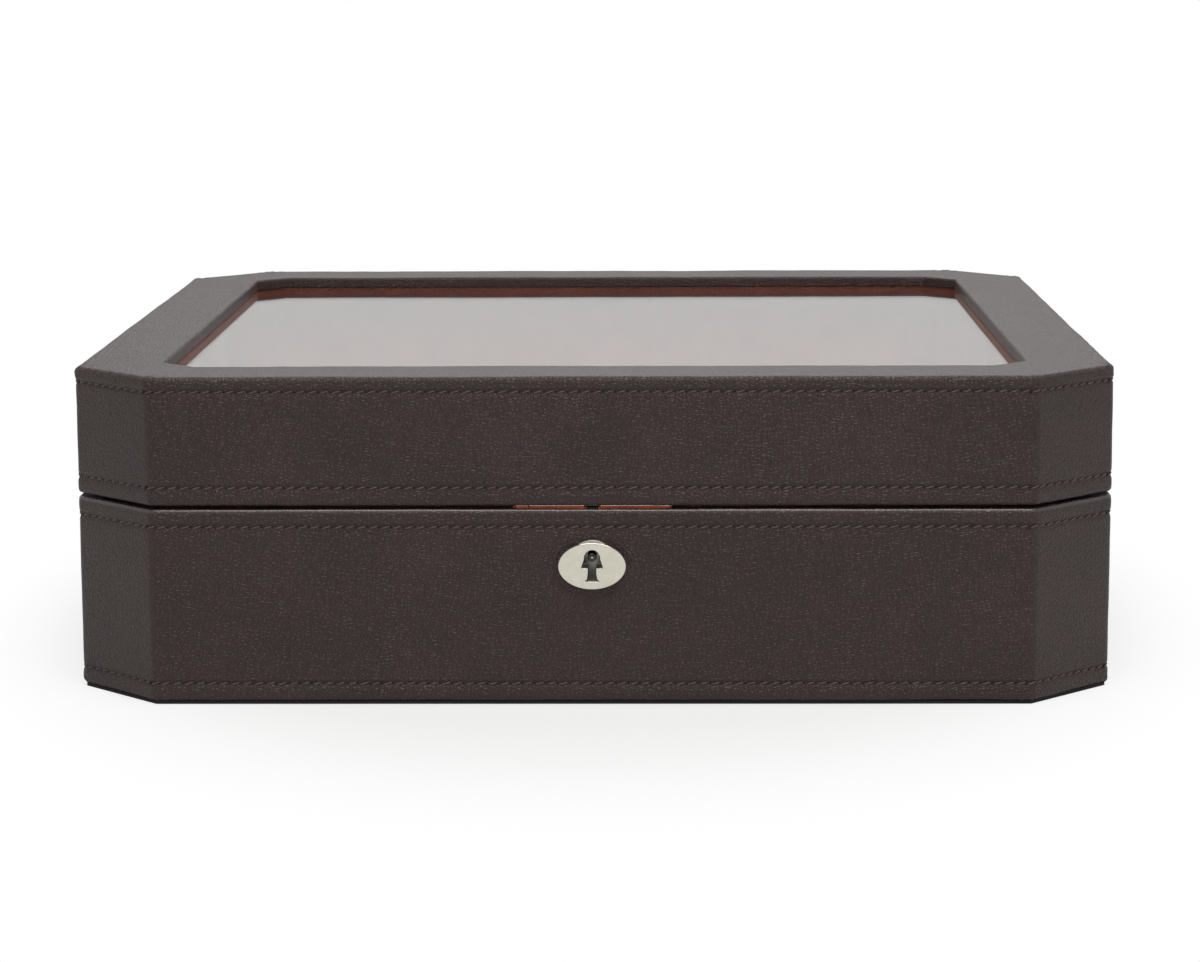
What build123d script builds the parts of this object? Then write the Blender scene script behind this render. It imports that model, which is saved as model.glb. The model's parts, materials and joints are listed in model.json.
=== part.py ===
from build123d import *
import os
from math import cos, radians, sin, sqrt

# Closed box, outside sizes
width = 343.0
depth = 343.0
base_height = 64.5
seam_gap = 1.0
lid_height = 42.5
corner_cut = 28.0

# Leather cover
leather = 1.2
edge_radius = 3.0
corner_radius = 4.0
window_edge_radius = 1.2
turned_under = 16.0

# Boards, lining and underside pad
wall_board = 12.0
bottom_board = 5.0
lining = 0.8
felt = 1.0
felt_inset = 1.0
pad_gap = 0.2

# Window of the lid
frame_width = 28.0
frame_board = 8.0
glass_drop = 4.25
glass = 3.0
glass_seat = 6.0
glass_gap = 0.2

# Compartments and watch cushions
columns = 5
rows = 4
divider = 3.0
divider_height = 47.0
divider_top_chamfer = 0.8
divider_gap = 0.05
cushion_gap = 3.3
cushion_height = 40.0
cushion_rise = 0.2
cushion_crown = 3.0
cushion_edge_radius = 9.0
cushion_foot_chamfer = 4.0
cushion_end = 9.0
cushion_end_draw = 4.0
cushion_end_drop = 11.0
cushion_wall_gap = 0.4

# Rest bumpers on the side rims
bumper_radius = 4.0
bumper_height = 0.7
bumper_from_front = 70.0

# Plates let into the rims
plate = 1.6
lock_plate_length = 50.0
lock_plate_end_radius = 2.0
lock_plate_inset = 3.1

# Screws
screw_head_radius = 2.0
screw_shank_radius = 1.1
screw_length = 9.0
screw_head_land = 0.2
screw_sides = 12
lock_screw_x = 21.0
hinge_screw_x = 13.0
hinge_screw_inset = 5.6

# Lock case and key
case_length = 34.0
case_thickness = 8.0
case_wall = 1.0
key_drop = 15.3
key_sweep = 7.8
case_below_sweep = 0.4
post_radius = 1.5
post_set_back = 1.0
ledge_height = 2.0
ledge_gap = 0.1
ledge_root = 0.5

# Oval escutcheon, its collar and barrel
escutcheon_length = 22.0
escutcheon_height = 15.3
escutcheon_plate = 1.3
escutcheon_bevel = 0.45
collar_radius = 7.85
collar_height = 1.7
barrel_radius = 6.0
escutcheon_below_post = 2.7

# Keyhole outline, measured from the post
keyhole_head_radius = 2.5
keyhole_skirt_half = 3.5
keyhole_skirt_drop = 3.2
keyhole_slot_half = 1.5
keyhole_slot_start = 2.6
keyhole_foot_half = 2.2
keyhole_foot_drop = 7.1
keyhole_bottom_drop = 7.8

# Link of the strike plate and the bolt that passes through it
link_width = 3.8
link_thickness = 4.6
link_cheek = 1.0
link_length = 6.5
link_below_eye = 1.5
link_slot_gap = 0.8
eye_gap = 0.35
link_to_case = 0.7
bolt_travel = 5.2
bolt_finger_height = 2.4
bolt_clearance = 0.3
bolt_arm_height = 3.8
bolt_side_gap = 0.2
talon_width = 5.0
talon_depth = 2.4
spring_thickness = 0.4
spring_length = 10.0
spring_width = 3.0
spring_gap = 0.15
spring_end_gap = 0.1

# Stop hinges
hinge_from_side = 81.5
hinge_length = 40.0
hinge_knuckle = 17.4
hinge_gap = 0.3
knuckle_radius = 2.5
pin_radius = 1.0
pin_clearance = 0.04
pin_out = 1.65
leaf_reach = 10.5
stop_half_angle = 48.5
stop_reach = 6.0
stop_lug_height = 6.5

# Levels and depths that follow from the sizes above
rim_width = leather + wall_board + lining
board_inset = leather + wall_board
core_low = felt + leather
base_core_top = base_height - leather
floor_level = core_low + bottom_board + lining
lid_low = base_height + seam_gap
lid_top = lid_low + lid_height
lid_core_low = lid_low + leather
lid_core_top = lid_top - leather
frame_low = lid_core_top - frame_board
glass_top = lid_top - glass_drop
glass_low = glass_top - glass
front_face = -depth / 2
back_face = depth / 2
key_level = base_height - key_drop
hinge_x = width / 2 - hinge_from_side
pin_y = back_face + pin_out
pin_z = base_height + seam_gap / 2
beyond = 5.0
level_match = 0.1


def inset_octagon(inset):
    """Corners of the plan outline, inset from the outer faces, from the front left round."""
    half_x = width / 2 - inset
    half_y = depth / 2 - inset
    cut = corner_cut - inset * (2 - sqrt(2))
    return [
        (-half_x + cut, -half_y), (half_x - cut, -half_y),
        (half_x, -half_y + cut), (half_x, half_y - cut),
        (half_x - cut, half_y), (-half_x + cut, half_y),
        (-half_x, half_y - cut), (-half_x, -half_y + cut),
    ]


def inset_of(point):
    """How far a point lies inside the nearest outer face, in plan."""
    over_cut = width / 2 + depth / 2 - corner_cut - abs(point.X) - abs(point.Y)
    return min(width / 2 - abs(point.X), depth / 2 - abs(point.Y), over_cut / sqrt(2))


def prism(inset, low, high):
    outline = Pos(0, 0, low) * Polygon(*inset_octagon(inset), align=None)
    return extrude(outline, amount=high - low)


def ring(outer_inset, inner_inset, low, high):
    return prism(outer_inset, low, high) - prism(inner_inset, low - beyond, high + beyond)


def rounded_prism(low, high):
    """Eight-sided block in its leather, whose arrises the leather rounds."""
    block = prism(0, low, high)
    block = fillet(block.edges().filter_by(Axis.Z), corner_radius)
    block = fillet(block.edges().group_by(Axis.Z)[-1], edge_radius)
    return fillet(block.edges().group_by(Axis.Z)[0], edge_radius)


def span(x_low, x_high, y_low, y_high, z_low, z_high):
    """Rectangular block between two levels on each axis."""
    size = Box(x_high - x_low, y_high - y_low, z_high - z_low, align=(Align.MIN,) * 3)
    return Pos(x_low, y_low, z_low) * size


def front_plane(inset):
    """Plane parallel to the front face, at a depth inside it, facing the viewer."""
    return Plane(origin=(0, front_face + inset, 0), x_dir=(1, 0, 0), z_dir=(0, -1, 0))


def board_sector(side, low, high):
    """Mitred slice of the plan that one wall board fills."""
    outer = inset_octagon(-beyond)
    inner = inset_octagon(board_inset + beyond)
    after = (side + 1) % len(outer)
    outline = Polygon(outer[side], outer[after], inner[after], inner[side], align=None)
    return extrude(Pos(0, 0, low) * outline, amount=high - low)


# Screws, plates and their recesses
def screw():
    """Countersunk screw with few sides, head uppermost at the origin."""
    cone_height = screw_head_radius - screw_shank_radius
    head_outline = RegularPolygon(screw_head_radius, screw_sides, major_radius=False)
    shank_outline = RegularPolygon(screw_shank_radius, screw_sides, major_radius=False)
    head = extrude(head_outline, amount=-cone_height - screw_head_land)
    head = chamfer(head.edges().group_by(Axis.Z)[0], cone_height)
    return head + extrude(shank_outline, amount=-screw_length)


def upright(x, y):
    """Place of a screw driven down into the base rim."""
    return Pos(x, y, base_height)


def inverted(x, y):
    """Place of a screw driven up into the lid rim."""
    return Pos(x, y, lid_low) * Rot(X=180)


def lock_screw_places(turn):
    y = front_face + (lock_plate_inset + rim_width) / 2
    return [turn(x, y) for x in (-lock_screw_x, lock_screw_x)]


def hinge_screw_places(turn):
    y = back_face - hinge_screw_inset
    offsets = (-hinge_screw_x, hinge_screw_x)
    return [turn(centre + x, y) for centre in (-hinge_x, hinge_x) for x in offsets]


def cut_screws(solid, places):
    for place in places:
        solid = solid - place * screw()
    return solid


def lock_plate_blank(low, high):
    y_low = front_face + lock_plate_inset
    y_high = front_face + rim_width
    half = lock_plate_length / 2
    blank = span(-half, half, y_low, y_high, low, high)
    ends = blank.edges().filter_by(Axis.Z).group_by(Axis.Y)[0]
    return fillet(ends, lock_plate_end_radius)


def leaf_blanks(low, high):
    """Both hinge leaves as plain plates, from the pin to their inner edge."""
    half = hinge_length / 2
    y_low = back_face - leaf_reach
    return [span(x - half, x + half, y_low, pin_y, low, high) for x in (-hinge_x, hinge_x)]


def base_recesses():
    low = base_height - plate
    high = base_height + beyond
    return [lock_plate_blank(low, high)] + leaf_blanks(low, high)


def lid_recesses():
    low = lid_low - beyond
    high = lid_low + plate
    return [lock_plate_blank(low, high)] + leaf_blanks(low, high)


def let_in(solid, recesses):
    for recess in recesses:
        solid = solid - recess
    return solid


# Leather, boards and lining of the base
def base_core():
    return prism(leather, core_low, base_core_top)


def soften_inner_edge(skin, level, inset, radius):
    """Round the free inner edge that the leather turns over at one level."""
    on_level = skin.edges().filter_by(lambda edge: abs(edge.center().Z - level) < level_match)
    inner = [edge for edge in on_level if inset_of(edge.center()) > inset - level_match]
    return fillet(inner, radius)


def base_leather():
    skin = rounded_prism(felt, base_height) - base_core()
    skin = skin - prism(rim_width, base_core_top - beyond, base_height + beyond)
    skin = skin - prism(turned_under, 0, core_low + beyond)
    skin = let_in(skin, base_recesses())
    return skin - barrel_hole()


def base_boards():
    walls = base_core() - prism(board_inset, 0, base_height)
    walls = let_in(walls, base_recesses())
    return [walls & board_sector(side, 0, base_height) for side in range(len(inset_octagon(0)))]


def base_front_board(board):
    y_low = front_face + board_inset - case_thickness
    y_high = front_face + board_inset + beyond
    half = case_length / 2
    mortise = span(-half, half, y_low, y_high, case_low(), base_height)
    return cut_screws(board - mortise - barrel_hole(), lock_screw_places(upright))


def base_wall_lining():
    band = ring(board_inset, rim_width, floor_level, base_core_top)
    return let_in(band, base_recesses())


def base_bottom():
    return prism(board_inset, core_low, core_low + bottom_board)


def base_floor_lining():
    return prism(board_inset, floor_level - lining, floor_level)


def underside_felt_pad():
    sheet = prism(felt_inset, 0, felt)
    return sheet + prism(turned_under + pad_gap, felt, core_low)


# Leather, boards, glass and lining of the lid
def lid_core():
    return prism(leather, lid_core_low, lid_core_top)


def lid_leather():
    inner_edge = prism(frame_width - leather, glass_top, lid_top + beyond)
    skin = rounded_prism(lid_low, lid_top) - (lid_core() - inner_edge)
    skin = skin - prism(frame_width, frame_low, lid_top + beyond)
    skin = skin - prism(rim_width, lid_low - beyond, frame_low)
    skin = soften_inner_edge(skin, lid_top, frame_width, window_edge_radius)
    return let_in(skin, lid_recesses())


def lid_boards():
    walls = lid_core() - prism(board_inset, 0, lid_top)
    walls = let_in(walls & prism(0, lid_low, frame_low), lid_recesses())
    return [walls & board_sector(side, 0, lid_top) for side in range(len(inset_octagon(0)))]


def lid_top_frame():
    frame = lid_core() & prism(0, frame_low, lid_top)
    frame = frame - prism(frame_width - leather, 0, lid_top)
    return frame - prism(frame_width - leather - glass_seat, 0, glass_top)


def glass_pane():
    return prism(frame_width - leather - glass_seat + glass_gap, glass_low, glass_top)


def glass_retainer():
    outer = frame_width - leather - glass_seat + glass_gap
    return ring(outer, frame_width - lining, frame_low, glass_low)


def lid_lining():
    walls = ring(board_inset, rim_width, lid_core_low, frame_low)
    under_frame = ring(rim_width, frame_width, frame_low - lining, frame_low)
    window_edge = ring(frame_width - lining, frame_width, frame_low, glass_low)
    return let_in(walls + under_frame + window_edge, lid_recesses())


# Compartments and cushions
def inner_length(outer):
    return outer - 2 * rim_width


def cell_width():
    return (inner_length(width) - (columns - 1) * divider) / columns


def cell_depth():
    return (inner_length(depth) - (rows - 1) * divider) / rows


def cell_centre(column, row):
    x = -inner_length(width) / 2 + cell_width() / 2 + column * (cell_width() + divider)
    y = -inner_length(depth) / 2 + cell_depth() / 2 + row * (cell_depth() + divider)
    return x, y


def divider_x(index):
    return cell_centre(index, 0)[0] + (cell_width() + divider) / 2


def divider_y(index):
    return cell_centre(0, index)[1] + (cell_depth() + divider) / 2


def divider_board(length):
    """Upright strip along X, its top edges eased for the suede that covers it."""
    high = floor_level + divider_height
    half = length / 2 - divider_gap
    strip = span(-half, half, -divider / 2, divider / 2, floor_level, high)
    return chamfer(strip.edges().filter_by(Axis.X).group_by(Axis.Z)[-1], divider_top_chamfer)


def halving_slot(low, high):
    half = divider / 2 + divider_gap
    return span(-half, half, -divider, divider, low, high)


def long_divider(index):
    strip = divider_board(inner_length(width))
    middle = floor_level + divider_height / 2
    for crossing in range(columns - 1):
        strip = strip - Pos(divider_x(crossing), 0, 0) * halving_slot(middle, middle + divider_height)
    return Pos(0, divider_y(index), 0) * strip


def cross_divider(index):
    strip = divider_board(inner_length(depth))
    middle = floor_level + divider_height / 2
    for crossing in range(rows - 1):
        strip = strip - Pos(divider_y(crossing), 0, 0) * halving_slot(0, middle)
    return Pos(divider_x(index), 0, 0) * Rot(Z=90) * strip


def cushion_section():
    """Upright section of a cushion across its compartment: crowned top, round edges, flat foot."""
    half = cell_depth() / 2 - cushion_gap
    low = floor_level + cushion_rise
    side_high = low + cushion_height - cushion_crown
    foot = Polyline(
        (-half, side_high), (-half, low + cushion_foot_chamfer), (-half + cushion_foot_chamfer, low),
        (half - cushion_foot_chamfer, low), (half, low + cushion_foot_chamfer), (half, side_high),
    )
    crown = ThreePointArc((half, side_high), (0, side_high + cushion_crown), (-half, side_high))
    section = make_face(foot + crown)
    edges = section.vertices().group_by(Axis.Y)[-1]
    return fillet(edges, cushion_edge_radius)


def cushion_form():
    """Whole cushion, its ends drawn in at the sides and at the top, where the cover is sewn shut."""
    half_x = cell_width() / 2 - cushion_gap
    half_y = cell_depth() / 2 - cushion_gap
    low = floor_level + cushion_rise
    high = low + cushion_height
    along = Plane(origin=(-half_x, 0, 0), x_dir=(0, 1, 0), z_dir=(1, 0, 0))
    loaf = extrude(along * cushion_section(), amount=2 * half_x)
    from_above = Polygon(
        (-half_x, -half_y + cushion_end_draw), (-half_x + cushion_end, -half_y),
        (half_x - cushion_end, -half_y), (half_x, -half_y + cushion_end_draw),
        (half_x, half_y - cushion_end_draw), (half_x - cushion_end, half_y),
        (-half_x + cushion_end, half_y), (-half_x, half_y - cushion_end_draw), align=None,
    )
    from_front = Polygon(
        (-half_x, low), (half_x, low), (half_x, high - cushion_end_drop),
        (half_x - cushion_end, high), (-half_x + cushion_end, high), (-half_x, high - cushion_end_drop),
        align=None,
    )
    across = Plane(origin=(0, half_y, 0), x_dir=(1, 0, 0), z_dir=(0, -1, 0))
    return loaf & extrude(from_above, amount=high) & extrude(across * from_front, amount=2 * half_y)


def cushion(form, column, row):
    """One watch cushion, pressed flat where a cut corner of the wall meets it."""
    x, y = cell_centre(column, row)
    return (Pos(x, y, 0) * form) & prism(rim_width + cushion_wall_gap, 0, base_height)


def rest_bumpers():
    x = width / 2 - rim_width / 2
    pad = Cylinder(bumper_radius, bumper_height, align=(Align.CENTER, Align.CENTER, Align.MIN))
    return [Pos(side * x, front_face + bumper_from_front, base_height) * pad for side in (-1, 1)]


# Lock
def case_low():
    return key_level - key_sweep - case_below_sweep - case_wall


def case_high():
    return base_height - plate


def case_front():
    return front_face + board_inset - case_thickness


def case_back():
    return front_face + board_inset


def link_y():
    """Nearest and farthest depth of the link."""
    near = case_front() + case_wall + link_to_case
    return near, near + link_thickness


def link_low():
    return case_high() - link_length


def finger_low():
    return link_low() + link_below_eye + eye_gap


def bolt_low():
    return link_low() - bolt_clearance - bolt_arm_height


def keyhole():
    """Keyhole outline about the key post, in the plane of the front face."""
    head = Circle(keyhole_head_radius)
    skirt = Polygon(
        (keyhole_head_radius, 0), (-keyhole_head_radius, 0),
        (-keyhole_skirt_half, -keyhole_skirt_drop), (keyhole_skirt_half, -keyhole_skirt_drop),
        align=None,
    )
    slot = Polygon(
        (keyhole_slot_half, -keyhole_slot_start), (-keyhole_slot_half, -keyhole_slot_start),
        (-keyhole_slot_half, -keyhole_foot_drop), (-keyhole_foot_half, -keyhole_bottom_drop),
        (keyhole_foot_half, -keyhole_bottom_drop), (keyhole_slot_half, -keyhole_foot_drop),
        align=None,
    )
    return head + skirt + slot


def key_passage():
    near = -collar_height - escutcheon_plate - beyond
    far = board_inset - case_thickness + case_wall + ledge_root
    outline = front_plane(far) * Pos(0, key_level) * keyhole()
    return extrude(outline, amount=far - near)


def barrel_hole():
    """Round hole that the barrel of the escutcheon fills, through leather and board."""
    far = board_inset - case_thickness
    centre = Pos(0, key_level - escutcheon_below_post)
    return extrude(front_plane(far) * centre * Circle(barrel_radius), amount=far + beyond)


def escutcheon():
    centre = Pos(0, key_level - escutcheon_below_post)
    oval = Ellipse(escutcheon_length / 2, escutcheon_height / 2)
    face = extrude(front_plane(-collar_height) * centre * oval, amount=escutcheon_plate)
    face = chamfer(face.edges().group_by(Axis.Y)[0], escutcheon_bevel)
    collar = extrude(front_plane(0) * centre * Circle(collar_radius), amount=collar_height)
    far = board_inset - case_thickness
    barrel = extrude(front_plane(far) * centre * Circle(barrel_radius), amount=far)
    return face + collar + barrel - key_passage()


def lock_case():
    half = case_length / 2
    box = span(-half, half, case_front(), case_back(), case_low(), case_high())
    room = span(
        -half + case_wall, half - case_wall, case_front() + case_wall, case_back() - case_wall,
        case_low() + case_wall, case_high() + beyond,
    )
    return box - room + bolt_ledges() - key_passage() - key_post()


def bolt_ledges():
    """Two ledges that the bolt slides on, outside the circle that the key sweeps."""
    inner = key_sweep + bolt_clearance
    outer = case_length / 2 - ledge_root
    near = link_y()[0] + link_cheek + eye_gap
    high = bolt_low() - ledge_gap
    left = span(-outer, -inner, near, case_back() - ledge_root, high - ledge_height, high)
    return left + mirror(left, about=Plane.YZ)


def key_post():
    far = board_inset
    near = -collar_height - escutcheon_plate + post_set_back
    outline = front_plane(far) * Pos(0, key_level) * Circle(post_radius)
    return extrude(outline, amount=far - near)


def lock_selvedge():
    blank = lock_plate_blank(case_high(), base_height)
    near, far = link_y()
    half = link_width / 2 + link_slot_gap
    near = near - link_slot_gap
    far = far + link_slot_gap
    slot = span(-half, half, near, far, case_high() - beyond, base_height + beyond)
    return cut_screws(blank - slot, lock_screw_places(upright))


def strike_plate():
    blank = lock_plate_blank(lid_low, lid_low + plate)
    near, far = link_y()
    half = link_width / 2
    link = span(-half, half, near, far, link_low(), lid_low)
    finger_high = finger_low() + bolt_finger_height
    eye_low = finger_low() - eye_gap
    eye = span(-width, width, near + link_cheek, far - link_cheek, eye_low, finger_high + eye_gap)
    return cut_screws(blank + (link - eye), lock_screw_places(inverted))


def lock_bolt():
    """Bolt plate drawn back to the left, with the finger that passes through the link."""
    near = link_y()[0] + link_cheek + eye_gap
    far = case_back() - case_wall - bolt_side_gap
    left = -case_length / 2 + case_wall + bolt_clearance
    right = case_length / 2 - case_wall - bolt_clearance - bolt_travel
    finger_tip = -link_width / 2 - 2 * bolt_clearance
    body_right = -link_width / 2 - bolt_clearance - bolt_travel
    low = bolt_low()
    high = finger_low() + bolt_finger_height
    body = span(left, body_right, near, far, low, high)
    arm = span(left, right, near, far, low, low + bolt_arm_height)
    finger_far = link_y()[1] - link_cheek - eye_gap
    finger = span(body_right, finger_tip, near, finger_far, finger_low(), high)
    talon_middle = -bolt_travel / 2
    talon_low = talon_middle - talon_width / 2
    talon = span(talon_low, talon_low + talon_width, near, far, low, low + talon_depth)
    return body + arm + finger - talon


def bolt_spring():
    """Bowed leaf between the selvedge and the bolt, which holds the bolt where it is put."""
    left = -case_length / 2 + case_wall + bolt_clearance
    middle = left + spring_length / 2
    right = left + spring_length
    top = case_high() - spring_end_gap
    foot = finger_low() + bolt_finger_height + spring_gap + spring_thickness
    upper = ThreePointArc((left, top), (middle, foot), (right, top))
    lower_end = top - spring_thickness
    lower = ThreePointArc((left, lower_end), (middle, foot - spring_thickness), (right, lower_end))
    ends = Line((left, top), (left, lower_end)) + Line((right, top), (right, lower_end))
    strip = make_face(upper + lower + ends)
    far = board_inset - case_wall - bolt_side_gap
    return extrude(front_plane(far) * strip, amount=spring_width)


# Stop hinges
def along_x(x_low, x_high, outline):
    """Solid of an outline drawn about the hinge pin, between two places along X."""
    plane = Plane(origin=(x_low, pin_y, pin_z), x_dir=(0, 1, 0), z_dir=(1, 0, 0))
    return extrude(plane * outline, amount=x_high - x_low, dir=(1, 0, 0))


def stop_lug(side):
    """Outline of the lug behind the pin: side -1 is below it and 1 above it."""
    reach_y = stop_reach * cos(radians(stop_half_angle))
    reach_z = stop_reach * sin(radians(stop_half_angle))
    return Polygon(
        (0, 0), (reach_y, side * reach_z), (reach_y, side * stop_lug_height),
        (-pin_out, side * stop_lug_height), (-pin_out, side * seam_gap / 2), align=None,
    )


def pin_bore():
    return Circle(pin_radius + pin_clearance)


def hinge_base_leaf(centre):
    half = hinge_length / 2
    inner = hinge_knuckle / 2 + hinge_gap
    low = base_height - plate
    sheet = span(centre - half, centre + half, back_face - leaf_reach, pin_y, low, low + plate)
    lug = along_x(centre - half, centre + half, stop_lug(-1))
    barrel = along_x(centre - half, centre + half, Circle(knuckle_radius))
    gap = along_x(centre - inner, centre + inner, Circle(knuckle_radius + hinge_gap))
    leaf = sheet + lug + barrel - gap - along_x(centre - half, centre + half, pin_bore())
    return cut_screws(leaf, hinge_screw_places(upright))


def hinge_lid_leaf(centre):
    half = hinge_length / 2
    inner = hinge_knuckle / 2
    y_low = back_face - leaf_reach
    sheet = span(centre - half, centre + half, y_low, pin_y, lid_low, lid_low + plate)
    for side in (-1, 1):
        x_low, x_high = sorted((centre + side * inner, centre + side * (half + beyond)))
        sheet = sheet - along_x(x_low, x_high, Circle(knuckle_radius + hinge_gap))
    lug = along_x(centre - inner, centre + inner, stop_lug(1))
    barrel = along_x(centre - inner, centre + inner, Circle(knuckle_radius))
    leaf = sheet + lug + barrel - along_x(centre - inner, centre + inner, pin_bore())
    return cut_screws(leaf, hinge_screw_places(inverted))


def hinge_pins():
    half = hinge_length / 2
    return [along_x(x - half, x + half, Circle(pin_radius)) for x in (-hinge_x, hinge_x)]


def screw_group(places):
    return [place * screw() for place in places]


# Every piece under the name of its node
def base_nodes():
    front, corner_a, right, corner_b, back, corner_c, left, corner_d = base_boards()
    return {
        "underside_felt_pad": underside_felt_pad(),
        "base_bottom_board": base_bottom(),
        "base_front_board": base_front_board(front),
        "base_back_board": cut_screws(back, hinge_screw_places(upright)),
        "base_side_boards": [left, right],
        "base_corner_boards": [corner_a, corner_b, corner_c, corner_d],
        "base_leather": base_leather(),
        "base_wall_lining": base_wall_lining(),
        "base_floor_lining": base_floor_lining(),
        "rest_bumpers": rest_bumpers(),
    }


def lid_nodes():
    front, corner_a, right, corner_b, back, corner_c, left, corner_d = lid_boards()
    return {
        "lid_front_board": cut_screws(front, lock_screw_places(inverted)),
        "lid_back_board": cut_screws(back, hinge_screw_places(inverted)),
        "lid_side_boards": [left, right],
        "lid_corner_boards": [corner_a, corner_b, corner_c, corner_d],
        "lid_top_frame": lid_top_frame(),
        "lid_leather": lid_leather(),
        "lid_lining": lid_lining(),
        "glass_pane": glass_pane(),
        "glass_retainer": glass_retainer(),
    }


def insert_nodes():
    nodes = {f"long_divider_{row + 1}": long_divider(row) for row in range(rows - 1)}
    for column in range(columns - 1):
        nodes[f"cross_divider_{column + 1}"] = cross_divider(column)
    form = cushion_form()
    for row in range(rows):
        for column in range(columns):
            nodes[f"cushion_{row + 1}_{column + 1}"] = cushion(form, column, row)
    return nodes


def lock_nodes():
    return {
        "lock_case": lock_case(),
        "lock_selvedge": lock_selvedge(),
        "lock_bolt": lock_bolt(),
        "bolt_spring": bolt_spring(),
        "key_post": key_post(),
        "escutcheon": escutcheon(),
        "strike_plate": strike_plate(),
    }


def hinge_nodes():
    return {
        "hinge_base_leaf_left": hinge_base_leaf(-hinge_x),
        "hinge_base_leaf_right": hinge_base_leaf(hinge_x),
        "hinge_lid_leaf_left": hinge_lid_leaf(-hinge_x),
        "hinge_lid_leaf_right": hinge_lid_leaf(hinge_x),
        "hinge_pins": hinge_pins(),
    }


def screw_nodes():
    return {
        "base_screws": screw_group(lock_screw_places(upright) + hinge_screw_places(upright)),
        "lid_screws": screw_group(lock_screw_places(inverted) + hinge_screw_places(inverted)),
    }


def solids_of(piece):
    """The separate solids of a piece, or of a list of pieces."""
    if isinstance(piece, list):
        return [solid for item in piece for solid in item.solids()]
    return list(piece.solids())


def write_nodes(nodes):
    for name, piece in nodes.items():
        solids = solids_of(piece)
        shape = solids[0] if len(solids) == 1 else Compound(children=solids)
        export_step(shape, os.path.join("parts", name + ".step"))
        print(name, len(solids))


os.makedirs("parts", exist_ok=True)
write_nodes(base_nodes())
write_nodes(lid_nodes())
write_nodes(insert_nodes())
write_nodes(lock_nodes())
write_nodes(hinge_nodes())
write_nodes(screw_nodes())
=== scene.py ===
# %% [markdown]
# A watch box with a glass lid. It is a wooden box in dark brown pebbled leather, lined with orange suede.
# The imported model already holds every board, plate and pin at its real size.
# So the first step loads it, and everything after it only dresses it.

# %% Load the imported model
import json
import math

import bmesh
import bpy
from mathutils import Matrix, Vector, noise
from mathutils.bvhtree import BVHTree


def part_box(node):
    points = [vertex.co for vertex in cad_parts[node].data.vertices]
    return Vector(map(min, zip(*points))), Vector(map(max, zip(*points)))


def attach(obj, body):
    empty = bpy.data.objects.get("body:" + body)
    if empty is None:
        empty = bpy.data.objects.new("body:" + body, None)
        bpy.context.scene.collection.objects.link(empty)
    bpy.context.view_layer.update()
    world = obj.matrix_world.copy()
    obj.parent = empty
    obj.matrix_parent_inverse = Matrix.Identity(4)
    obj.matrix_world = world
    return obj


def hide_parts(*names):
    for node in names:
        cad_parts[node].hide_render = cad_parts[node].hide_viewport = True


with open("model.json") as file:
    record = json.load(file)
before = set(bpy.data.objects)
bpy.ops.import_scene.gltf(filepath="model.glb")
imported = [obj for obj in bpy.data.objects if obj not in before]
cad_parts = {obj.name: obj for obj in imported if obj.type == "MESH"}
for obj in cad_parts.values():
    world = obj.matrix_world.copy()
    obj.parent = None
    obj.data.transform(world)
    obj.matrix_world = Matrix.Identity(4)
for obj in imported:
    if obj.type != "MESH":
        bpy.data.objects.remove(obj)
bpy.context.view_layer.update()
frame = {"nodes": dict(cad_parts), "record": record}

# %% [markdown]
# Sizes come in millimetres, as the leather worker has them, and one factor turns them into metres.
# The outside of the box is read from the model, so only the worker's own choices are written here.

# %% Sizes of the box
MM = 0.001


def box_of(node):
    """Low and high corner of a piece of the model, in millimetres."""
    return [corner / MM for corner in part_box(node)]


base_low, base_high = box_of("base_leather")
lid_low, lid_high = box_of("lid_leather")
glass_top = box_of("glass_pane")[1].z
half_width = base_high.x
half_depth = base_high.y
corner_cut = 28.0
leather = 1.2
rim_width = 14.0
frame_width = 28.0
turned_under = 16.0
print("base", round(base_low.z, 2), round(base_high.z, 2), "lid", round(lid_low.z, 2), round(lid_high.z, 2))

# %% [markdown]
# The photographer stood 1.07 m in front of the box with a long lens, a little above the lid.
# A camera has no size to match by eye: its place, turn and lens were fitted to the edges of the box.

# %% Camera
camera_place = Vector((0.02129, -1.23829, 0.24891))
camera_turn_left = math.radians(1.0006)
camera_tilt_down = math.radians(9.309)
camera_roll = math.radians(-0.247)
camera_lens = 100.346
camera_film = 36.0


def put_in_scene(name, data):
    """Nothing shows until it is linked into the scene."""
    thing = bpy.data.objects.new(name, data)
    bpy.context.scene.collection.objects.link(thing)
    return thing


camera_data = bpy.data.cameras.new("photo_camera")
camera_data.lens = camera_lens
camera_data.sensor_width = camera_film
camera = put_in_scene("photo_camera", camera_data)
camera.matrix_world = (
    Matrix.Translation(camera_place)
    @ Matrix.Rotation(camera_turn_left, 4, "Z")
    @ Matrix.Rotation(math.pi / 2 - camera_tilt_down, 4, "X")
    @ Matrix.Rotation(camera_roll, 4, "Z")
)
bpy.context.scene.camera = camera
bpy.context.scene.view_settings.view_transform = "Standard"
print("camera", tuple(round(value, 3) for value in camera_place), "lens", camera_lens)

# %% [markdown]
# Every finish starts from the same empty material, and most of them need the same few nodes.
# An input of a node takes a fixed value or the output of another node, and feed() sorts out which.
# So one call adds a node and fills it, and a finish reads as a short recipe.

# %% Helpers for nodes
def feed(finish, socket, value):
    """Give an input a fixed value, or wire the output of another node to it."""
    if isinstance(value, bpy.types.NodeSocket):
        finish.node_tree.links.new(value, socket)
    else:
        socket.default_value = value


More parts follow.
